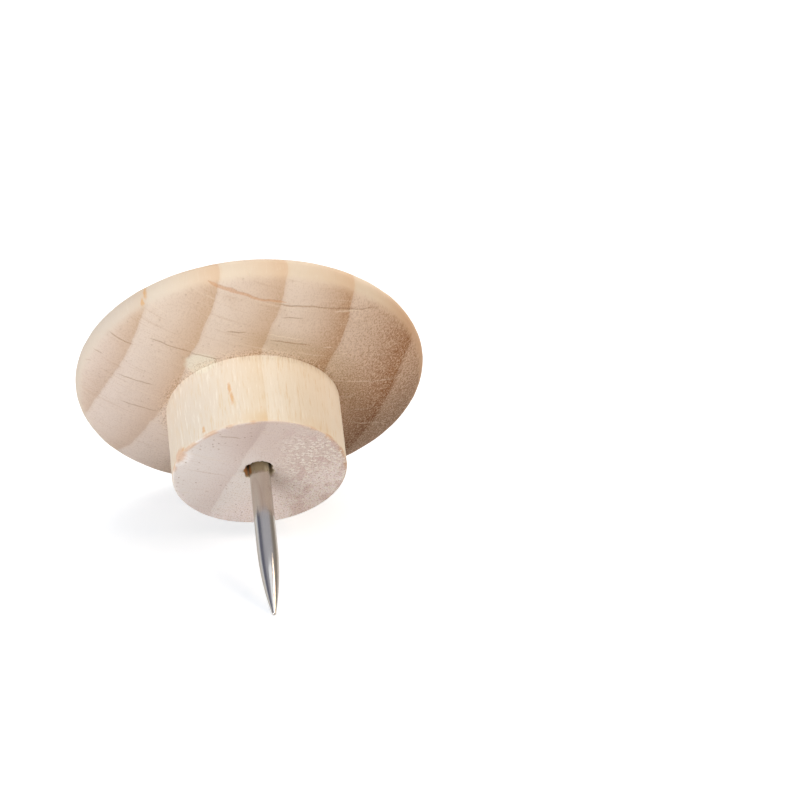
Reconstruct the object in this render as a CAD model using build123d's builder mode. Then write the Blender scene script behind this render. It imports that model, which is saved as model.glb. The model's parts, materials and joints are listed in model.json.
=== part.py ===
from build123d import *
from math import asin, atan2, cos, degrees, hypot, radians, sin, tan
import os

os.makedirs("parts", exist_ok=True)

# Push pin: a turned wooden mushroom head with a round steel needle glued into its stem.
# It lies on a table on its rim and its point. +Z is up, the point is towards -Y, and the
# origin is on the table under the middle of the pin. Sizes are in millimetres.

# Wooden head
head_d = 22.0
crown_rise = 1.9
rim_r = 1.1
underside_r = 12.0
underside_start = 58.0
stem_d = 10.9
seat_below_rim = 7.75
seat_edge_break = 0.12

# Drilled hole, its depths measured from the seat, which is the stem's flat end
bore_d = 1.55
bore_depth = 7.1
drill_angle = 118.0
mouth_d = 1.95
mouth_depth = 0.7

# Steel needle
wire_d = 1.3
needle_out = 10.6
needle_in = 6.8
point_length = 5.0
tip_r = 0.12
shank_end_d = 1.24
shank_chamfer = 0.15

# Adhesive, how far it stands below the seat at the wood and at the needle
glue_below_seat_at_wood = 0.95
glue_below_seat_at_wire = 1.15

# Stations along the axis, counted from the needle's tip towards the crown
seat_at = needle_out
rim_at = seat_at + seat_below_rim
crown_at = rim_at + crown_rise
bore_end_at = seat_at + bore_depth
drill_tip_at = bore_end_at + bore_d / 2 / tan(radians(drill_angle / 2))
shank_end_at = seat_at + needle_in

# The pin leans until the round of the rim and the rounded tip both touch the table
rim_centre_r = head_d / 2 - rim_r
reach = rim_at - tip_r
lean = atan2(rim_centre_r, reach) + asin((rim_r - tip_r) / hypot(reach, rim_centre_r))
back_y = reach * cos(lean) + rim_centre_r * sin(lean) + rim_r
tip_centre_y = (tip_r - back_y) / 2
tip = (0, tip_centre_y - tip_r * cos(lean), tip_r - tip_r * sin(lean))

# Turning plane: x is the radius and y runs along the axis from the tip to the crown
turning_plane = Plane(origin=tip, x_dir=(0, -sin(lean), cos(lean)), z_dir=(-1, 0, 0))
pin_axis = Axis(tip, (0, cos(lean), sin(lean)))

# Crown: a shallow arc that runs into the round of the rim without a corner
crown_r = (rim_centre_r**2 + crown_rise**2 - rim_r**2) / (2 * (crown_rise - rim_r))
crown_centre_at = crown_at - crown_r
crown_turn = degrees(atan2(rim_centre_r, rim_at - crown_centre_at))

# Underside: a flatter arc that leaves the round of the rim smoothly and ends at the stem
underside_offset = underside_r - rim_r
underside_centre_r = rim_centre_r - underside_offset * cos(radians(underside_start))
underside_centre_at = rim_at + underside_offset * sin(radians(underside_start))
root_turn = degrees(asin((stem_d / 2 - underside_centre_r) / underside_r))

with BuildPart() as wooden_head:
    # Cap and stem are turned in one piece
    with BuildSketch(turning_plane):
        with BuildLine():
            crown = CenterArc((0, crown_centre_at), crown_r, 90, -crown_turn)
            rim = CenterArc((rim_centre_r, rim_at), rim_r, 90 - crown_turn, crown_turn - 90 - underside_start)
            underside = CenterArc(
                (underside_centre_r, underside_centre_at),
                underside_r,
                -underside_start,
                root_turn + underside_start - 90,
            )
            Polyline(underside @ 1, (stem_d / 2, seat_at), (0, seat_at), crown @ 0)
        make_face()
    revolve(axis=pin_axis)
    seat_edge = wooden_head.edges().filter_by(GeomType.CIRCLE).sort_by(pin_axis)[0]
    chamfer(seat_edge, length=seat_edge_break)

    # Blind hole with the drill's cone at its end and a mouth where the fibres broke away
    with BuildSketch(turning_plane):
        with BuildLine():
            Polyline(
                (0, seat_at),
                (mouth_d / 2, seat_at),
                (bore_d / 2, seat_at + mouth_depth),
                (bore_d / 2, bore_end_at),
                (0, drill_tip_at),
                close=True,
            )
        make_face()
    revolve(axis=pin_axis, mode=Mode.SUBTRACT)

wooden_head.part.label = "wooden_head"
export_step(wooden_head.part, "parts/wooden_head.step")

# Needle: an arc tangent to the wire narrows it to a small round tip, and the hidden shank is drawn
# down a little from the seat to its chamfered end so that it starts into the hole
wire_r = wire_d / 2
shank_end_r = shank_end_d / 2
taper_length = point_length - tip_r
taper_r = (wire_r**2 - tip_r**2 + taper_length**2) / (2 * (wire_r - tip_r))
taper_turn = degrees(atan2(taper_length, taper_r - wire_r))

with BuildPart() as steel_pin:
    with BuildSketch(turning_plane):
        with BuildLine():
            rounded_tip = CenterArc((0, tip_r), tip_r, -90, 90 - taper_turn)
            taper = CenterArc((wire_r - taper_r, point_length), taper_r, -taper_turn, taper_turn)
            Polyline(
                taper @ 1,
                (wire_r, seat_at),
                (shank_end_r, shank_end_at - shank_chamfer),
                (shank_end_r - shank_chamfer, shank_end_at),
                (0, shank_end_at),
                rounded_tip @ 0,
            )
        make_face()
    revolve(axis=pin_axis)

steel_pin.part.label = "steel_pin"
export_step(steel_pin.part, "parts/steel_pin.step")

# Adhesive: it fills the drill's cone and the gap round the shank, and has sunk a little at the shank
glue_at_wood = seat_at + glue_below_seat_at_wood
glue_at_wire = seat_at + glue_below_seat_at_wire
shank_draw = (wire_r - shank_end_r) / (needle_in - shank_chamfer)
glue_inner_r = wire_r - shank_draw * glue_below_seat_at_wire

with BuildPart() as glue_sleeve:
    with BuildSketch(turning_plane):
        with BuildLine():
            Polyline(
                (bore_d / 2, glue_at_wood),
                (bore_d / 2, bore_end_at),
                (0, drill_tip_at),
                (0, shank_end_at),
                (shank_end_r - shank_chamfer, shank_end_at),
                (shank_end_r, shank_end_at - shank_chamfer),
                (glue_inner_r, glue_at_wire),
                close=True,
            )
        make_face()
    revolve(axis=pin_axis)

glue_sleeve.part.label = "glue_sleeve"
export_step(glue_sleeve.part, "parts/glue_sleeve.step")
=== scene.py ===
import json
from math import asin, atan2, cos, hypot, pi, radians, sin, tan

import bpy
from mathutils import Euler, Matrix, Quaternion, Vector


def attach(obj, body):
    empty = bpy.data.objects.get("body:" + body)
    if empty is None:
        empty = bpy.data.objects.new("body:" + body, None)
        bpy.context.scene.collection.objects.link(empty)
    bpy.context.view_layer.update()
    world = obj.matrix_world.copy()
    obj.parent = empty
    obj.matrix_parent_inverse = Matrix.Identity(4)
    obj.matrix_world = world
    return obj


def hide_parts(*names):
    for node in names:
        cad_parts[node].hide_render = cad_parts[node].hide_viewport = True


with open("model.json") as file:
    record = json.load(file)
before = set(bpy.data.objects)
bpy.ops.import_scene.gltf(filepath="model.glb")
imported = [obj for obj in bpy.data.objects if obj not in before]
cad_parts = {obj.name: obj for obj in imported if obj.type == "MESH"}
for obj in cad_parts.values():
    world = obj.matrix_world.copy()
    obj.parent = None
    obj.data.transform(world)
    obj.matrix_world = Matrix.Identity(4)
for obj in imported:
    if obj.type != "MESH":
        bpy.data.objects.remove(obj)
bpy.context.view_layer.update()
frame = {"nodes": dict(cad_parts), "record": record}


# Wooden head: the knob that fingers hold, turned in one piece from pale softwood whose grain runs
# along the pin, then sanded and left bare. Crown, underside and seat show end grain, the stem shows
# long grain, and the drilled hole in the seat has a mouth where the fibres broke away.

# Sizes in millimetres, with the pin upright on the middle of its seat
rim_radius, rim_round, rim_height = 11.0, 1.1, 7.75
crown_rise, underside_round, underside_start = 1.9, 12.0, radians(58)
stem_radius, seat_edge = 5.45, 0.12
bore_radius, bore_depth, drill_point = 0.775, 7.1, radians(118)
mouth_radius, mouth_depth, lip_width, lip_depth = 0.97, 0.7, 0.04, 0.03
first_ring, last_ring = 0.03, 0.05

# Where the seat lies in the row, and how the upright pin is laid down there
millimetre = 0.001
bare_needle = next(mount for mount in frame["record"]["mounts"] if mount["name"] == "needle")
to_crown = -Vector(bare_needle["axis"])
seat_place = Vector(bare_needle["pos_m"]) + to_crown * bare_needle["dims"]["length_mm"] / 2 * millimetre
lean = (asin(to_crown.z) - pi / 2, 0, 0)
laid_down = Matrix.LocRotScale(seat_place, Euler(lean), Vector((millimetre, millimetre, millimetre)))


def arc(centre, radius, start, end, steps):
    """Points of a turned profile along an arc, as (radius, height)."""
    angles = [start + (end - start) * step / steps for step in range(steps + 1)]
    return [(centre[0] + radius * cos(a), centre[1] + radius * sin(a)) for a in angles]


def straight(start, end, steps):
    """Points of a turned profile along a straight line, without its first point."""
    return [
        tuple(a + (b - a) * step / steps for a, b in zip(start, end)) for step in range(1, steps + 1)
    ]


def turn_on_lathe(name, profile, segments):
    """Raises one ring through a profile of radii and heights and closes it at both ends."""
    bpy.ops.object.select_all(action="DESELECT")
    bpy.ops.mesh.primitive_circle_add(vertices=segments, radius=profile[0][0])
    piece = bpy.context.object
    piece.name = piece.data.name = name
    bpy.ops.object.mode_set(mode="EDIT")
    bpy.ops.mesh.select_all(action="SELECT")
    bpy.ops.transform.translate(value=(0, 0, profile[0][1]))
    for (r0, h0), (r1, h1) in zip(profile, profile[1:]):
        bpy.ops.mesh.extrude_region_move(TRANSFORM_OT_translate={"value": (0, 0, h1 - h0)})
        bpy.ops.transform.resize(value=(r1 / r0, r1 / r0, 1), center_override=(0, 0, h1))
    bpy.ops.mesh.merge(type="CENTER")
    bpy.ops.mesh.select_all(action="DESELECT")
    bpy.ops.mesh.select_non_manifold()
    bpy.ops.mesh.merge(type="CENTER")
    bpy.ops.mesh.select_all(action="SELECT")
    bpy.ops.mesh.normals_make_consistent(inside=False)
    bpy.ops.object.mode_set(mode="OBJECT")
    return piece


def lay_down(piece):
    """Takes a piece from upright millimetres to its place in the row, with the place in its mesh."""
    bpy.ops.object.select_all(action="DESELECT")
    piece.select_set(True)
    bpy.context.view_layer.objects.active = piece
    piece.matrix_world = laid_down
    bpy.ops.object.transform_apply(location=True, rotation=True, scale=True)


# Profile of the head: up the hole's wall, over the seat and up the stem, round the cap to its crown
rim_centre = rim_radius - rim_round
crown_round = (rim_centre**2 + crown_rise**2 - rim_round**2) / (2 * (crown_rise - rim_round))
crown_centre = rim_height + crown_rise - crown_round
crown_turn = atan2(rim_centre, rim_height - crown_centre)
underside_centre = (
    rim_centre - (underside_round - rim_round) * cos(underside_start),
    rim_height + (underside_round - rim_round) * sin(underside_start),
)
root_turn = asin((stem_radius - underside_centre[0]) / underside_round)
bore_end = bore_depth + (bore_radius - first_ring) / tan(drill_point / 2)
lip = (mouth_radius + lip_width, 0)
broken_edge = arc((stem_radius - seat_edge, seat_edge), seat_edge, -pi / 2, 0, steps=4)
underside = arc(underside_centre, underside_round, root_turn - pi / 2, -underside_start, steps=30)
rim = arc((rim_centre, rim_height), rim_round, -underside_start, pi / 2 - crown_turn, steps=18)
crown = arc((0, crown_centre), crown_round, pi / 2 - crown_turn, pi / 2, steps=40)
head_profile = [(first_ring, bore_end), (bore_radius, bore_depth)]
head_profile += straight((bore_radius, bore_depth), (bore_radius, mouth_depth), steps=8)
head_profile += straight((bore_radius, mouth_depth), (mouth_radius, lip_depth), steps=7) + [lip]
head_profile += straight(lip, (stem_radius - seat_edge, 0), steps=22) + broken_edge[1:]
head_profile += straight((stem_radius, seat_edge), underside[0], steps=26)
head_profile += underside[1:] + rim[1:] + crown[1:-1] + [(last_ring, rim_height + crown_rise)]
head = turn_on_lathe("turned_wooden_head", head_profile, segments=300)

# Wear: waves from sanding, a rubbed rim, a mouth of the hole that broke away, and a chip in the seat's edge
sanded_from, sanded_to = 1.3, 10.4
rubbed_from, rubbed_over = 10.2, 0.4
mouth_edge, mouth_reach = 1.02, 2.4
chip_edge, chip_length, chip_width, chip_height = 5.5, 0.9, 0.75, 0.8
along_chip = (0.338, -0.941)


def wear(piece, name, weight_at, strength, middle=0.0, direction="NORMAL", cloud_size=None):
    """Moves the points that weight_at picks, all by one amount or, with a cloud size, unevenly."""
    group = piece.vertex_groups.new(name=name)
    for vertex in piece.data.vertices:
        weight = weight_at(hypot(vertex.co.x, vertex.co.y), vertex.co)
        if weight > 0:
            group.add([vertex.index], weight, "REPLACE")
    displace = piece.modifiers.new(name, "DISPLACE")
    if cloud_size:
        displace.texture = bpy.data.textures.new(name, "CLOUDS")
        displace.texture.noise_scale = cloud_size
        displace.texture_coords = "LOCAL"
    displace.direction = direction
    displace.vertex_group = name
    displace.strength = strength
    displace.mid_level = middle
    bpy.context.view_layer.objects.active = piece
    bpy.ops.object.modifier_apply(modifier=name)
    piece.vertex_groups.remove(piece.vertex_groups[name])


def sanded(radius, point):
    """1 on the faces and the stem, 0 on the rim, in the hole and above it."""
    return float(sanded_from < radius < sanded_to)


def rubbed(radius, point):
    """How far out on the rim a point lies."""
    return max(0.0, min(1.0, (radius - rubbed_from) / rubbed_over))


def near_mouth(radius, point):
    """How far a point follows the hole's mouth: fully at its edge, less the deeper or the further out."""
    if point.z > mouth_depth or radius > mouth_reach:
        return 0.0
    return (1 - max(0.0, radius - mouth_edge) / (mouth_reach - mouth_edge)) * (1 - point.z / mouth_depth)


def at_mouth(radius, point):
    """The same as near_mouth, kept close to the edge."""
    return near_mouth(radius, point) ** 3


def in_chip(radius, point):
    """How deep a point lies in the chip in the seat's left edge, which fades inwards and upwards."""
    if point.z > chip_height or point.x > 0:
        return 0.0
    along = point.x * along_chip[0] + point.y * along_chip[1]
    off = hypot(along / chip_length, (radius - chip_edge) / chip_width)
    return max(0.0, 1 - off) * (1 - point.z / chip_height)


wear(head, "sanding", sanded, strength=0.07, middle=0.5, cloud_size=3.2)
wear(head, "handling", rubbed, strength=0.05, middle=1.0, cloud_size=1.6)
wear(head, "mouth_up", near_mouth, strength=-0.26, direction="Y")
wear(head, "mouth_left", near_mouth, strength=-0.07, direction="X")
wear(head, "broken_along", at_mouth, strength=0.55, middle=0.5, direction="X", cloud_size=0.30)
wear(head, "broken_across", at_mouth, strength=0.50, middle=0.5, direction="Y", cloud_size=0.22)
wear(head, "chipped_edge", in_chip, strength=0.32, direction="Z")
lay_down(head)
bpy.ops.object.shade_smooth_by_angle(angle=radians(40))


def new_material(name):
    """A new material, with its node tree and its shader."""
    material = bpy.data.materials.new(name)
    material.use_nodes = True
    return material, material.node_tree, material.node_tree.nodes["Principled BSDF"]


def node(tree, kind, inputs=(), **settings):
    """Adds a node, sets its settings, and joins or sets its inputs in order; None leaves one alone."""
    new = tree.nodes.new(kind)
    for name, value in settings.items():
        setattr(new, name, value)
    for socket, value in zip(new.inputs, inputs):
        if isinstance(value, bpy.types.NodeSocket):
            tree.links.new(value, socket)
        elif value is not None:
            socket.default_value = value
    return new


def sums(tree, operation, *values, clamp=False):
    """The result of a Math node."""
    return node(tree, "ShaderNodeMath", values, operation=operation, use_clamp=clamp).outputs[0]


def product(tree, first, *others):
    """Several values multiplied together."""
    for factor in others:
        first = sums(tree, "MULTIPLY", first, factor)
    return first


def vectors(tree, operation, *values):
    """The vector result of a Vector Math node."""
    return node(tree, "ShaderNodeVectorMath", values, operation=operation).outputs[0]


def measure(tree, operation, *values):
    """The number that a Vector Math node gives, such as a length."""
    return node(tree, "ShaderNodeVectorMath", values, operation=operation).outputs["Value"]


def part_of(tree, vector, index):
    """One of the three numbers of a vector or colour."""
    return node(tree, "ShaderNodeSeparateXYZ", (vector,)).outputs[index]


def noise(tree, place, stretch, detail=2.0, roughness=0.5):
    """Cloudy values between 0 and 1, with about stretch clouds to a millimetre along each way."""
    stretched = vectors(tree, "MULTIPLY", place, stretch)
    return node(tree, "ShaderNodeTexNoise", (stretched, None, 1.0, detail, roughness)).outputs[0]


def shaken(tree, place, per_millimetre, detail, amount):
    """The place moved about at random, by up to half the amount each way."""
    shift = node(tree, "ShaderNodeTexNoise", (place, None, per_millimetre, detail)).outputs["Color"]
    both_ways = vectors(tree, "MULTIPLY_ADD", shift, (amount,) * 3, (-amount / 2,) * 3)
    return vectors(tree, "ADD", place, both_ways)


def scatter(tree, place, per_millimetre):
    """Scattered points across the grain: the distance to the nearest one, and a colour of its own."""
    return node(tree, "ShaderNodeTexVoronoi", (place, None, per_millimetre), voronoi_dimensions="2D")


def between(tree, value, low, high, to_low=0.0, to_high=1.0):
    """A smooth step that takes low to to_low and high to to_high."""
    return node(
        tree, "ShaderNodeMapRange", (value, low, high, to_low, to_high), interpolation_type="SMOOTHSTEP"
    ).outputs[0]


def ramp(tree, value, stops):
    """A colour ramp with a colour at each stop, from 0 to 1."""
    new = node(tree, "ShaderNodeValToRGB", (value,))
    elements = new.color_ramp.elements
    for at, colour in stops:
        stop = elements[0] if at == 0 else elements[-1] if at == 1 else elements.new(at)
        stop.color = (*colour, 1)
    return new.outputs[0]


def blend(tree, factor, first, second, kind="MIX"):
    """One colour mixed into another."""
    new = node(tree, "ShaderNodeMix", (factor,), data_type="RGBA", blend_type=kind)
    for socket, value in ((new.inputs[6], first), (new.inputs[7], second)):
        if isinstance(value, bpy.types.NodeSocket):
            tree.links.new(value, socket)
        else:
            socket.default_value = value
    return new.outputs[2]


def bumped(tree, shader, relief, strength, depth):
    """Raises a surface by a relief, up to a depth in metres."""
    bump = node(tree, "ShaderNodeBump", (strength, depth))
    tree.links.new(relief, bump.inputs["Height"])
    tree.links.new(bump.outputs[0], shader.inputs["Normal"])


def srgb(red, green, blue):
    """A colour as it looks on a screen, 0 to 255, in the linear values that Blender takes."""
    levels = [level / 255 for level in (red, green, blue)]
    return [v / 12.92 if v <= 0.04045 else ((v + 0.055) / 1.055) ** 2.4 for v in levels] + [1.0]


def along_the_pin(tree):
    """Millimetres from the middle of the seat: x to the right, y down the seat, z to the crown."""
    place = node(tree, "ShaderNodeTexCoord").outputs["Object"]
    unit = (millimetre, millimetre, millimetre)
    return node(
        tree, "ShaderNodeMapping", (place, seat_place, lean, unit), vector_type="TEXTURE"
    ).outputs[0]


# A mark that runs through the wood along the pin, seen on both end-grain faces as a thin line
across_grain = (1, 1, 0)
grain_mark = bpy.data.node_groups.new("grain_mark", "ShaderNodeTree")
for socket, kind in (("Place", "Vector"), ("Start", "Vector"), ("End", "Vector"), ("Width", "Float")):
    grain_mark.interface.new_socket(socket, in_out="INPUT", socket_type=f"NodeSocket{kind}")
grain_mark.interface.new_socket("Mask", in_out="OUTPUT", socket_type="NodeSocketFloat")
given = node(grain_mark, "NodeGroupInput").outputs
wavering = shaken(grain_mark, given["Place"], 0.9, 4.0, 0.3)
flattened = vectors(grain_mark, "MULTIPLY", wavering, across_grain)
from_start = vectors(grain_mark, "SUBTRACT", flattened, given["Start"])
whole_mark = vectors(grain_mark, "SUBTRACT", given["End"], given["Start"])
along_mark = measure(grain_mark, "DOT_PRODUCT", from_start, whole_mark)
mark_square = measure(grain_mark, "DOT_PRODUCT", whole_mark, whole_mark)
share = sums(grain_mark, "DIVIDE", along_mark, mark_square, clamp=True)
nearest = vectors(grain_mark, "SCALE", whole_mark, None, None, share)
off_mark = measure(grain_mark, "DISTANCE", from_start, nearest)
from_middle = sums(grain_mark, "ABSOLUTE", sums(grain_mark, "SUBTRACT", share, 0.5))
narrowed = product(grain_mark, given["Width"], between(grain_mark, from_middle, 0.3, 0.5, 1.0, 0.25))
mask = between(grain_mark, sums(grain_mark, "DIVIDE", off_mark, narrowed), 0.35, 1.0, 1.0, 0.0)
node(grain_mark, "NodeGroupOutput", (mask,))


def marks(tree, place, lines):
    """The strongest of several grain marks, each from (x, y) to (x, y) with a width in millimetres."""
    strongest = 0.0
    for start, end, width in lines:
        mark = node(tree, "ShaderNodeGroup", node_tree=grain_mark)
        tree.links.new(place, mark.inputs["Place"])
        mark.inputs["Start"].default_value = (*start, 0)
        mark.inputs["End"].default_value = (*end, 0)
        mark.inputs["Width"].default_value = width
        strongest = sums(tree, "MAXIMUM", mark.outputs["Mask"], strongest)
    return strongest


def off_spot(tree, place, middle, size):
    """How far a place lies from the middle of an oval spot, with 1 at its edge."""
    return measure(tree, "LENGTH", vectors(tree, "DIVIDE", vectors(tree, "SUBTRACT", place, middle), size))


# Ways across the wood, in millimetres, and the faces that show end grain
softwood, tree, shader = new_material("bare_sanded_softwood")
place = along_the_pin(tree)
to_right, down, height = node(tree, "ShaderNodeSeparateXYZ", (place,)).outputs
radius = measure(tree, "LENGTH", vectors(tree, "MULTIPLY", place, across_grain))
upper_right = sums(tree, "SUBTRACT", to_right, down)
right_side = measure(tree, "DOT_PRODUCT", place, (0.93, 0.36, 0))
low_right = measure(tree, "DOT_PRODUCT", place, (0.8, 0.6, 0))
lowest_right = measure(tree, "DOT_PRODUCT", place, (0.6, 0.8, 0))
low_left = measure(tree, "DOT_PRODUCT", place, (-0.8, 0.6, 0))
underneath = between(tree, height, 8.0, 6.9)
normal = node(tree, "ShaderNodeNewGeometry").outputs["Normal"]
facing = sums(tree, "ABSOLUTE", measure(tree, "DOT_PRODUCT", normal, to_crown))
end_grain = between(tree, facing, 0.4, 0.9)
seat_face = product(tree, end_grain, between(tree, height, 0.4, 0.12))

# Growth rings about a pith far off to the upper left, each pale at its start and darker to its end
pith, pith_to_middle = (-397.62, -121.12, 0), 415.6
pith_to_rings, first_ring_width, each_ring_wider = 403.508, 2.768, 0.52432
from_pith = vectors(tree, "MULTIPLY", vectors(tree, "SUBTRACT", place, pith), across_grain)
across_rings = measure(tree, "LENGTH", from_pith)
wander = sums(tree, "MULTIPLY_ADD", noise(tree, place, (0.28, 0.28, 0.03), 1.0), 0.7, -0.35)
ripple = sums(tree, "MULTIPLY_ADD", noise(tree, place, (1.3, 1.3, 0.1), 3.0), 0.26, -0.13)
waved = sums(tree, "ADD", sums(tree, "ADD", across_rings, wander), ripple)
into_rings = sums(tree, "SUBTRACT", waved, pith_to_rings)
width_here = sums(tree, "MULTIPLY_ADD", into_rings, 2 * each_ring_wider, first_ring_width**2)
width_here = sums(tree, "SQRT", width_here)
rings_passed = sums(tree, "DIVIDE", sums(tree, "SUBTRACT", width_here, first_ring_width), each_ring_wider)
late_levels = (
    (0.0, 0.4), (0.05, 0.04), (0.2, 0.05), (0.5, 0.3), (0.7, 0.58), (0.9, 0.92), (0.97, 1.0), (1.0, 0.85)
)
late = ramp(tree, sums(tree, "FRACT", rings_passed), [(at, (level,) * 3) for at, level in late_levels])
mottle = noise(tree, place, (0.45, 0.45, 0.1), 3.0, 0.6)

# Rays cross the rings: place along them, then across, stretched into hairlines
pith_turn = sums(tree, "ARCTAN2", part_of(tree, from_pith, 1), part_of(tree, from_pith, 0))
along_rings = product(tree, pith_turn, pith_to_middle)
ray_place = node(tree, "ShaderNodeCombineXYZ", (along_rings, across_rings, height)).outputs[0]
rays = noise(tree, ray_place, (5.0, 0.22, 0.05), 3.0, 0.65)
pale_rays = product(tree, between(tree, rays, 0.58, 0.7), end_grain)
dark_rays = product(tree, between(tree, rays, 0.42, 0.3), end_grain)

# Cut cells show as fine speckle, coarser at the stem where the sanding stopped short, and stronger to the
# right as painted grazing light
cells = noise(tree, ray_place, (8.5, 11.5, 1.5), 1.5, 0.7)
grazing_lit_side = between(tree, low_right, -4.0, 6.0, 0.22, 1.0)
rough_root = product(tree, between(tree, radius, 6.4, 5.5), between(tree, height, 4.4, 4.9))
rough_and_grazing_lit = sums(tree, "MAXIMUM", grazing_lit_side, rough_root)
rough_and_grazing_lit = product(tree, rough_and_grazing_lit, between(tree, underneath, 0.0, 1.0, 0.3, 1.0))
rough_grain = sums(tree, "MAXIMUM", end_grain, product(tree, rough_root, 0.4))
rough_and_grazing_lit_end = product(tree, rough_and_grazing_lit, rough_grain)

# Pits where cells tore out, gathered in clumps
clumps = noise(tree, place, (0.9, 0.9, 0.1), 2.0)
pits = scatter(tree, place, 2.6)
picked = between(tree, part_of(tree, pits.outputs["Color"], 0), 0.6, 0.8)
pitted = product(tree, picked, between(tree, clumps, 0.42, 0.58))
specks = product(tree, between(tree, pits.outputs["Distance"], 0.2, 0.06), pitted)

# Fibres that the saw lifted on the right of the seat, as short pale tufts
tufts = scatter(tree, vectors(tree, "MULTIPLY", place, (0.65, 1.15, 1.0)), 4.6)
frizz = sums(tree, "MULTIPLY_ADD", noise(tree, place, (9.0, 9.0, 2.0), 2.0), 1.1, tufts.outputs["Distance"])
picked = between(tree, part_of(tree, tufts.outputs["Color"], 1), 0.15, 0.3)
fibres = product(tree, between(tree, frizz, 0.97, 0.82), picked, seat_face)
fuzzy = product(tree, between(tree, to_right, 0.3, 2.4), between(tree, clumps, 0.34, 0.48, 0.4, 1.0))
fuzzy = product(tree, fuzzy, between(tree, down, -4.4, -2.6, 0.2, 1.0))
lifted = product(tree, fuzzy, fibres)

# Long grain on the stem and round the rim: short streaks along the pin
streaks = noise(tree, place, (7.0, 7.0, 0.8), 4.0, 0.65)

# Resin flecks on the stem and the rim, each at its place with its size across, in depth and along the pin
frayed = shaken(tree, place, 3.5, 3.0, 0.3)
flecks = between(tree, noise(tree, place, (2.6, 2.6, 0.7), 2.0), 0.74, 0.82)
for spot, size in (
    ((-2.01, -5.08, 2.85), (0.13, 0.35, 0.6)),
    ((-1.9, -5.1, 2.1), (0.16, 0.35, 0.65)),
    ((-3.7, -4.0, 0.55), (0.13, 0.3, 0.35)),
    ((-4.94, -2.3, 0.2), (0.16, 0.4, 0.35)),
    ((2.85, -4.42, 1.45), (0.06, 0.3, 0.7)),
    ((-7.05, -8.35, 7.95), (0.16, 0.4, 0.75)),
    ((-7.24, -8.15, 7.3), (0.12, 0.35, 0.5)),
):
    flecks = sums(tree, "MAXIMUM", flecks, between(tree, off_spot(tree, frayed, spot, size), 1.0, 0.3))

# The marks that show most: a torn resinous line, open ray cracks, and pale rays
torn_line = marks(
    tree,
    place,
    (
        ((-3.3, -10.3), (-1.6, -10.05), 0.13),
        ((-2.3, -10.15), (-0.3, -9.57), 0.12),
        ((-1.1, -9.75), (1.5, -9.27), 0.1),
    ),
)
cracks = marks(
    tree,
    place,
    (
        ((1.0, -9.2), (3.6, -8.7), 0.065),
        ((3.0, -8.8), (5.8, -8.1), 0.065),
        ((5.2, -8.2), (7.4, -7.65), 0.055),
        ((1.2, -8.3), (2.6, -8.1), 0.05),
        ((-2.2, -7.35), (-0.8, -7.3), 0.06),
        ((0.6, -6.7), (3.1, -6.1), 0.06),
        ((-4.3, -5.5), (-2.4, -5.1), 0.06),
        ((-9.3, -5.6), (-7.7, -5.25), 0.06),
        ((-6.8, -6.1), (-4.1, -5.55), 0.065),
        ((-8.7, -2.6), (-6.3, -2.3), 0.055),
        ((-8.3, -0.2), (-5.8, 0.3), 0.055),
        ((-10.1, -3.8), (-9.5, -3.8), 0.05),
        ((-10.7, -2.4), (-10.2, -2.85), 0.05),
        ((-2.8, -4.0), (-1.4, -3.7), 0.05),
    ),
)
pale_lines = marks(
    tree,
    place,
    (
        ((4.6, -8.2), (6.2, -7.9), 0.07),
        ((0.4, -7.15), (2.6, -6.6), 0.06),
        ((4.0, -5.7), (4.6, -5.6), 0.07),
        ((4.7, -4.85), (5.6, -4.9), 0.06),
        ((5.0, -2.65), (9.0, -1.3), 0.055),
        ((6.0, 1.9), (9.0, 3.7), 0.055),
    ),
)
torn_line = product(tree, torn_line, underneath)
cracks = product(tree, cracks, end_grain, underneath)
pale_lines = product(tree, pale_lines, underneath)

# Colour of the end grain: early and late wood, with painted cool light low on the left and painted shade to
# the right
early_end, mottled_end = srgb(229, 210, 193), srgb(210, 182, 157)
late_left, late_painted_shade = srgb(209, 178, 150), srgb(184, 144, 108)
cool_lit_early, cool_lit_late = srgb(226, 211, 203), srgb(208, 187, 174)
right_shade_tint, root_shading, low_right_shade_tint = (0.79, 0.64, 0.54, 1.0), (0.86, 0.83, 0.75, 1.0), (0.64, 0.62, 0.60, 1.0)
# Late wood browner to the right: painted shade
late_end = blend(tree, between(tree, to_right, 1.0, 9.0), late_left, late_painted_shade)
end_colour = blend(tree, late, early_end, late_end)
end_colour = blend(tree, between(tree, mottle, 0.45, 0.75, 0.0, 0.3), end_colour, mottled_end)
# Painted cool light: the end grain greyer and bluer low on the left
painted_cool_light = between(tree, low_left, -1.0, 7.5, 0.0, 0.65)
end_colour = blend(tree, painted_cool_light, end_colour, blend(tree, late, cool_lit_early, cool_lit_late))
# Painted shade: the end grain browner to the right, less so on the crown
painted_right_shade = product(tree, between(tree, right_side, -1.5, 9.5), between(tree, underneath, 0.0, 1.0, 0.35, 1.0))
end_colour = blend(tree, painted_right_shade, end_colour, right_shade_tint, "MULTIPLY")
root_shaded = product(tree, between(tree, radius, 8.0, 6.2), between(tree, upper_right, 4.0, 8.0), underneath)
end_colour = blend(tree, root_shaded, end_colour, root_shading, "MULTIPLY")
# Painted shade: darker again low on the right
painted_low_right_shade = product(tree, between(tree, lowest_right, 3.0, 8.8), underneath)
end_colour = blend(tree, painted_low_right_shade, end_colour, low_right_shade_tint, "MULTIPLY")

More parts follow.
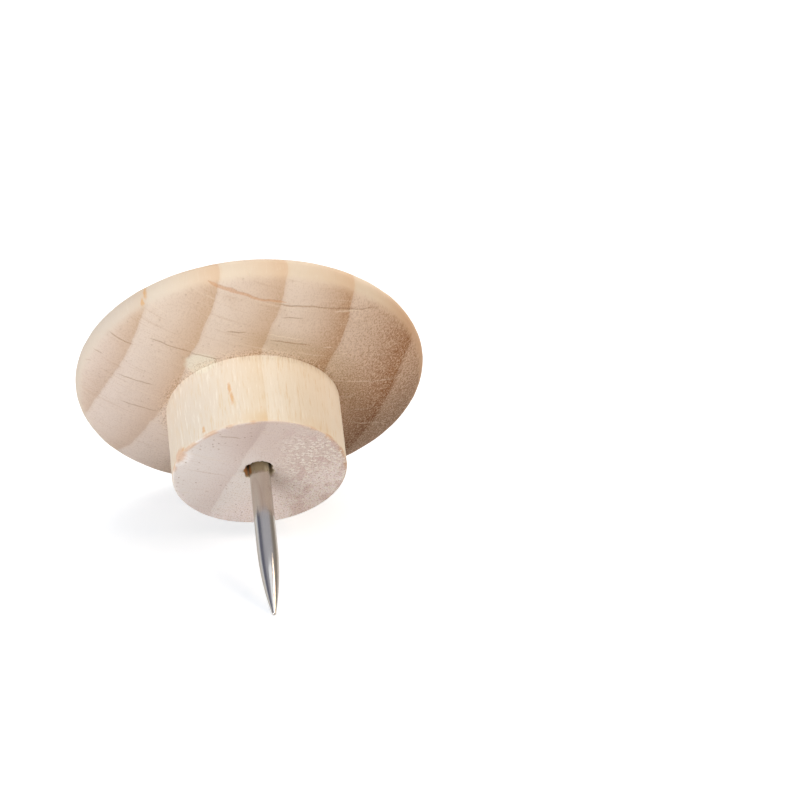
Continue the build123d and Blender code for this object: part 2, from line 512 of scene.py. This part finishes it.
# Colour of the stem, with painted cool shade to the left and painted light to the right, and late wood
# plainest at the seat
early_stem, late_stem = srgb(243, 233, 216), srgb(231, 206, 168)
stem_cool_shade, stem_painted_light = srgb(226, 210, 192), srgb(252, 242, 228)
stem_late = product(tree, late, between(tree, height, 1.3, 0.2, 0.4, 1.0))
stem_colour = blend(tree, stem_late, early_stem, late_stem)
stem_colour = blend(tree, between(tree, to_right, 1.0, -5.2, 0.0, 0.8), stem_colour, stem_cool_shade)
stem_colour = blend(tree, between(tree, to_right, 1.5, 5.0, 0.0, 0.8), stem_colour, stem_painted_light)

# Colour of the rim, with painted cool shade to the left and painted warm shade to the right
early_rim, late_rim = srgb(233, 217, 196), srgb(225, 193, 160)
rim_cool_shade, rim_warm_shade = srgb(218, 203, 187), srgb(210, 172, 138)
rim_colour = blend(tree, product(tree, late, 0.8), early_rim, late_rim)
rim_colour = blend(tree, between(tree, to_right, -3.0, -10.0, 0.0, 0.9), rim_colour, rim_cool_shade)
rim_colour = blend(tree, between(tree, to_right, 6.5, 10.5, 0.0, 0.85), rim_colour, rim_warm_shade)

# Streaks and flecks over the long grain, and a pale patch torn from the upper left of the stem's root
dark_streak, pale_streak = srgb(227, 200, 156), srgb(250, 241, 227)
resin, torn_wood = srgb(222, 172, 112), srgb(238, 230, 212)
on_stem = between(tree, height, 6.2, 5.2, 0.2, 1.0)
long_colour = blend(tree, between(tree, height, 5.4, 6.4), stem_colour, rim_colour)
dark_streaks = product(tree, between(tree, streaks, 0.52, 0.7, 0.0, 0.5), on_stem)
long_colour = blend(tree, dark_streaks, long_colour, dark_streak)
pale_streaks = product(tree, between(tree, streaks, 0.46, 0.3, 0.0, 0.6), on_stem)
long_colour = blend(tree, pale_streaks, long_colour, pale_streak)
long_colour = blend(tree, product(tree, flecks, 0.7), long_colour, resin)
colour = blend(tree, end_grain, long_colour, end_colour)
off_patch = off_spot(tree, frayed, (-3.6, -4.65, 5.1), (1.2, 1.05, 0.6))
colour = blend(tree, between(tree, off_patch, 1.0, 0.65, 0.0, 0.8), colour, torn_wood)

# Colour of the sawn seat: one ring's edge runs over it, darkest at the top, with painted shade to the upper
# right, painted light low on the right against the needle's shadow, and a blush to the right
early_seat, late_seat, ring_end = srgb(248, 240, 236), srgb(235, 221, 216), srgb(206, 184, 178)
seat_painted_shade, seat_painted_light, blushing = srgb(226, 206, 198), srgb(255, 242, 240), srgb(218, 188, 184)
seat_late = product(tree, late, between(tree, to_right, 2.2, -0.5, 0.25, 1.0))
seat_colour = blend(tree, seat_late, early_seat, late_seat)
# Painted shade to the upper right
seat_colour = blend(tree, between(tree, upper_right, -2.0, 4.0, 0.0, 0.8), seat_colour, seat_painted_shade)
# Painted light low on the right, where the needle's shadow falls
seat_colour = blend(tree, between(tree, lowest_right, 0.8, 3.2, 0.0, 0.9), seat_colour, seat_painted_light)
ring_edge = product(tree, sums(tree, "POWER", seat_late, 3.0), between(tree, down, -1.2, -3.6, 0.0, 0.5))
seat_colour = blend(tree, ring_edge, seat_colour, ring_end)
blush = product(tree, between(tree, clumps, 0.52, 0.38), between(tree, to_right, 0.4, 2.8, 0.0, 0.6))
seat_colour = blend(tree, blush, seat_colour, blushing)
colour = blend(tree, product(tree, seat_face, 0.95), colour, seat_colour)

# Tan edge of the seat, in patches along its upper half but for the top, and the bare wood of the chip
edge_tan, chip_tan = srgb(222, 182, 148), srgb(222, 180, 146)
off_top = sums(tree, "ABSOLUTE", sums(tree, "SUBTRACT", to_right, 1.2))
sawn_edge = product(tree, between(tree, radius, 5.14, 5.36), between(tree, height, 0.22, 0.1))
sawn_edge = product(tree, sawn_edge, between(tree, off_top, 0.5, 2.2, 0.3, 1.3))
sawn_edge = product(tree, sawn_edge, between(tree, down, 1.0, -0.8))
patchy = between(tree, noise(tree, place, (0.8, 0.8, 0.8), 2.0), 0.42, 0.62, 0.0, 0.6)
colour = blend(tree, product(tree, sawn_edge, patchy), colour, edge_tan)
off_chip = off_spot(tree, frayed, (-5.15, -1.85, 0.2), (0.65, 0.85, 0.55))
colour = blend(tree, between(tree, off_chip, 1.0, 0.4, 0.0, 0.7), colour, chip_tan)

# Colour of the hole: pale at its mouth, painted shade deeper inside, and a patch of painted light in orange
# on its left
mouth_wood, orange_painted_light, bore_painted_shade = srgb(230, 214, 186), srgb(240, 176, 118), srgb(104, 86, 66)
bored = product(tree, between(tree, radius, 1.75, 1.4), between(tree, height, 0.03, 0.2), underneath)
# Painted light: an orange lit patch on the hole's left wall
orange_lit_patch = product(tree, between(tree, to_right, -0.55, -0.8), between(tree, down, -0.35, -0.05))
bore_colour = blend(tree, orange_lit_patch, mouth_wood, orange_painted_light)
# Painted shade deeper in the hole
bore_colour = blend(tree, between(tree, height, 0.35, 0.95), bore_colour, bore_painted_shade)
colour = blend(tree, bored, colour, bore_colour)

# Fine marks over all of it: rays, the torn line, cracks, pits, lifted fibres and cut cells
pale_ray, dark_ray, pale_line = srgb(238, 220, 198), srgb(186, 148, 114), srgb(240, 222, 200)
torn_resin, crack_shade, pit_shade = srgb(206, 152, 110), srgb(164, 124, 92), srgb(160, 120, 92)
fibre_white, cell_wall, cell_hollow = srgb(255, 246, 238), srgb(234, 208, 180), (0.71, 0.61, 0.51, 1.0)
colour = blend(tree, product(tree, pale_rays, 0.26), colour, pale_ray)
colour = blend(tree, product(tree, dark_rays, 0.2), colour, dark_ray)
colour = blend(tree, product(tree, torn_line, 0.55), colour, torn_resin)
colour = blend(tree, product(tree, cracks, 0.5), colour, crack_shade)
colour = blend(tree, product(tree, pale_lines, 0.45), colour, pale_line)
pits_shown = sums(tree, "MULTIPLY_ADD", seat_face, 0.3, product(tree, end_grain, 0.22))
colour = blend(tree, product(tree, specks, pits_shown), colour, pit_shade)
colour = blend(tree, lifted, colour, fibre_white)
# Cut cells, stronger to the right as painted grazing light
pale_cells = product(tree, between(tree, cells, 0.53, 0.62, 0.0, 0.55), rough_and_grazing_lit_end)
colour = blend(tree, pale_cells, colour, cell_wall)
dark_cells = product(tree, between(tree, cells, 0.48, 0.39), rough_and_grazing_lit_end)
colour = blend(tree, dark_cells, colour, cell_hollow, "MULTIPLY")

# Relief: late wood, cells, streaks and lifted fibres stand up, and cracks, the torn line and pits go in
gritty = sums(tree, "MULTIPLY_ADD", end_grain, rough_and_grazing_lit, 0.15)
streaky = sums(tree, "MULTIPLY_ADD", end_grain, -0.7, 0.8)
relief = sums(tree, "MULTIPLY_ADD", late, 0.6, product(tree, cells, gritty))
relief = sums(tree, "MULTIPLY_ADD", streaks, streaky, relief)
opened = sums(tree, "MAXIMUM", sums(tree, "MAXIMUM", cracks, torn_line), specks)
relief = sums(tree, "ADD", sums(tree, "SUBTRACT", relief, opened), lifted)
bumped(tree, shader, relief, strength=0.5, depth=0.04 * millimetre)
tree.links.new(colour, shader.inputs["Base Color"])
tree.links.new(between(tree, cells, 0.3, 0.7, 0.8, 0.6), shader.inputs["Roughness"])
shader.inputs["Specular IOR Level"].default_value = 0.3

head.data.materials.append(softwood)
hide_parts("wooden_head")
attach(head, "root")


# Steel needle: a round wire, ground to a slender point, nickel-plated and polished bright, with its
# blunt end pressed and glued into the hole in the stem. Faint lines from the grinding run along it.
wire_radius, tip_radius, point_length = 0.65, 0.12, 5.0
needle_out, needle_in, shank_end, shank_chamfer = 10.6, 6.8, 0.62, 0.15
tip_start = 0.05 - pi / 2
point_start = point_length - needle_out
taper_length = point_length - tip_radius
taper_round = (wire_radius**2 - tip_radius**2 + taper_length**2) / (2 * (wire_radius - tip_radius))
taper_turn = atan2(taper_length, taper_round - wire_radius)
needle_profile = arc((0, tip_radius - needle_out), tip_radius, tip_start, -taper_turn, steps=8)
needle_profile += arc((wire_radius - taper_round, point_start), taper_round, -taper_turn, 0, steps=40)[1:]
needle_profile += straight((wire_radius, point_start), (wire_radius, 0), steps=24)
needle_profile += straight((wire_radius, 0), (shank_end, needle_in - shank_chamfer), steps=6)
needle_profile += [(shank_end - shank_chamfer, needle_in), (first_ring, needle_in)]
needle = turn_on_lathe("polished_needle", needle_profile, segments=128)
lay_down(needle)
bpy.ops.object.shade_smooth_by_angle(angle=radians(30))

steel, tree, shader = new_material("nickel_plated_steel")
bright_nickel, dull_nickel = srgb(215, 209, 201), srgb(196, 190, 182)
place = along_the_pin(tree)
ground_lines = noise(tree, place, (26.0, 26.0, 0.25), 2.0, 0.6)
haze = noise(tree, place, (1.6, 1.6, 0.5), 3.0, 0.6)
dullness = sums(tree, "MULTIPLY_ADD", ground_lines, 0.06, between(tree, haze, 0.35, 0.75, 0.09, 0.18))
tree.links.new(blend(tree, haze, bright_nickel, dull_nickel), shader.inputs["Base Color"])
tree.links.new(dullness, shader.inputs["Roughness"])
shader.inputs["Metallic"].default_value = 1.0
bumped(tree, shader, ground_lines, strength=0.25, depth=0.01 * millimetre)

needle.data.materials.append(steel)
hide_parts("steel_pin")
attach(needle, "root")


# Adhesive: a drop of clear amber glue, run into the hole before the needle and set hard round it.
# It fills the drill's cone and the narrow gap and stands a little below the seat.
amber, tree, shader = new_material("set_amber_glue")
light_amber, deep_amber = srgb(214, 168, 106), srgb(168, 116, 62)
cloudy = noise(tree, along_the_pin(tree), (1.8, 1.8, 0.9), 3.0, 0.6)
tree.links.new(blend(tree, cloudy, light_amber, deep_amber), shader.inputs["Base Color"])
tree.links.new(between(tree, cloudy, 0.3, 0.7, 0.16, 0.4), shader.inputs["Roughness"])
for slot in frame["nodes"]["glue_sleeve"].material_slots:
    slot.material = amber


# Floor: a wide sheet of smooth white board, the surface the pin lies on. The camera sees it as plain
# white with the pin's shadow on it, and polished metal sees it dimmer.
board_width, near_glow, far_glow, mirrored_glow = 8, 0.64, 1.05, 0.28
bpy.ops.object.select_all(action="DESELECT")
bpy.ops.mesh.primitive_plane_add(size=board_width)
floor = bpy.context.object
floor.name = "white_board_floor"
board, tree, shader = new_material("white_board")
tree.nodes.remove(shader)
on_board = node(tree, "ShaderNodeTexCoord").outputs["Object"]
paper = noise(tree, on_board, (220.0, 220.0, 220.0), 2.0)
paper_colour = blend(tree, paper, srgb(205, 205, 206), srgb(209, 209, 209))
sheet = node(tree, "ShaderNodeBsdfDiffuse", (paper_colour,)).outputs[0]
ray = node(tree, "ShaderNodeLightPath").outputs
mirrored = sums(tree, "MAXIMUM", ray["Is Glossy Ray"], ray["Is Transmission Ray"])
camera_glow = between(tree, measure(tree, "LENGTH", on_board), 0.15, 1.2, near_glow, far_glow)
glow = sums(tree, "MULTIPLY_ADD", mirrored, mirrored_glow, product(tree, ray["Is Camera Ray"], camera_glow))
glowing = node(tree, "ShaderNodeEmission", ((0.92, 0.96, 1.0, 1.0), glow)).outputs[0]
lit_board = node(tree, "ShaderNodeAddShader", (sheet, glowing)).outputs[0]
tree.links.new(lit_board, tree.nodes["Material Output"].inputs["Surface"])
floor.data.materials.append(board)


# Studio light: a long soft lamp low to the left, a wide one in front and above, a warm one high to the
# right and two behind, in a room that is pale and cool to the left and warm and dim to the right.
lamps_aim = Vector((0, 0, 0.009))
for name, spot, width, depth, power, tint in (
    ("low_left_softbox", (-0.62, -0.52, 0.18), 1.00, 0.34, 6.3, (0.95, 0.98, 1.0)),
    ("front_softbox", (0.03, -0.36, 0.78), 0.60, 0.60, 0.9, (0.88, 0.95, 1.0)),
    ("high_right_lamp", (0.55, -0.25, 0.60), 0.50, 0.50, 3.7, (1.0, 0.81, 0.61)),
    ("back_softbox", (-0.10, 0.42, 0.75), 0.50, 0.50, 1.8, (1.0, 0.96, 0.90)),
    ("rear_softbox", (0.30, 0.80, 0.42), 0.70, 0.50, 4.6, (1.0, 0.97, 0.93)),
):
    bpy.ops.object.light_add(type="AREA", location=spot)
    lamp = bpy.context.object
    lamp.name = name
    lamp.data.shape = "RECTANGLE"
    lamp.data.size = width
    lamp.data.size_y = depth
    lamp.data.energy = power
    lamp.data.color = tint
    lamp.rotation_euler = (lamps_aim - Vector(spot)).to_track_quat("-Z", "Y").to_euler()

room = bpy.data.worlds.new("pale_room")
bpy.context.scene.world = room
room.use_nodes = True
tree = room.node_tree
outwards = node(tree, "ShaderNodeTexCoord").outputs["Generated"]
to_side, up = part_of(tree, outwards, 0), part_of(tree, outwards, 2)
cool_side = ramp(
    tree,
    up,
    (
        (0.0, (0.80, 0.84, 0.92)),
        (0.14, (0.78, 0.82, 0.90)),
        (0.34, (0.14, 0.15, 0.22)),
        (0.62, (0.20, 0.21, 0.28)),
        (0.85, (0.48, 0.50, 0.58)),
        (1.0, (0.52, 0.54, 0.62)),
    ),
)
warm_side = ramp(
    tree,
    up,
    (
        (0.0, (0.50, 0.45, 0.40)),
        (0.14, (0.48, 0.44, 0.40)),
        (0.34, (0.30, 0.27, 0.24)),
        (0.62, (0.34, 0.32, 0.31)),
        (0.85, (0.48, 0.50, 0.58)),
        (1.0, (0.52, 0.54, 0.62)),
    ),
)
plain_white, fill_strength = (1.0, 1.0, 1.0, 1.0), 0.25
walls = blend(tree, between(tree, to_side, -0.5, 0.6), cool_side, warm_side)
ray = node(tree, "ShaderNodeLightPath").outputs
mirrored = sums(tree, "MAXIMUM", ray["Is Glossy Ray"], ray["Is Transmission Ray"])
seen = sums(tree, "MAXIMUM", ray["Is Camera Ray"], mirrored)
strength = sums(tree, "MULTIPLY_ADD", seen, 1 - fill_strength, fill_strength)
background = tree.nodes["Background"].inputs
tree.links.new(blend(tree, ray["Is Camera Ray"], walls, plain_white), background["Color"])
tree.links.new(strength, background["Strength"])


# Camera: a long lens a little to the left and above, looking down on the pin from its point, with
# the pin in the left half of the picture.
aim = Vector((0.008934, 0.0, 0.009451))
stand = Vector((-0.031862, -0.273227, 0.123621))
roll = Quaternion((0, 0, 1), radians(1.876))
bpy.ops.object.camera_add(location=stand)
camera = bpy.context.object
camera.name = "photo_camera"
camera.rotation_euler = ((aim - stand).to_track_quat("-Z", "Y") @ roll).to_euler()
camera.data.sensor_width = 36
camera.data.lens = 215.55
camera.data.clip_start = 0.01
bpy.context.scene.camera = camera
bpy.context.scene.view_settings.view_transform = "Standard"
